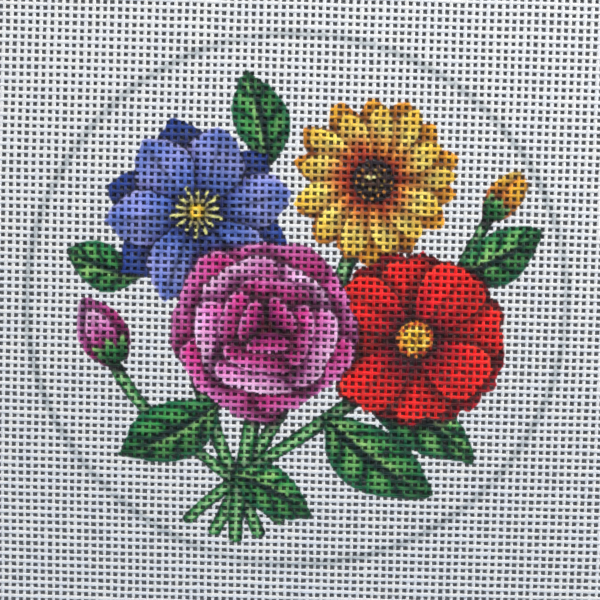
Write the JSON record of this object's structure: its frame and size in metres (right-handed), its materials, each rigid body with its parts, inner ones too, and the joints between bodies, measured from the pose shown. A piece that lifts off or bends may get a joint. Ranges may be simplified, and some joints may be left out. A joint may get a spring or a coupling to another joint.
{
  "type": "needlepoint canvas panel",
  "caption": "Flat square of stiff open-weave cotton needlepoint canvas, with a posy of garden flowers painted inside a drawn circle and a bare margin around it.",
  "frame": {"origin": "middle of the underside, which lies on the ground plane", "axes": "+Z out of the painted face, +Y towards the top of the picture, +X towards its right"},
  "size_m": [0.1524, 0.1524, 0.001],
  "materials": {
    "sized_cotton": "matt, starched white cotton threads with an open mesh, hand-painted in the middle"
  },
  "bodies": {
    "root": {"canvas": "sized_cotton"}
  },
  "joints": []
}
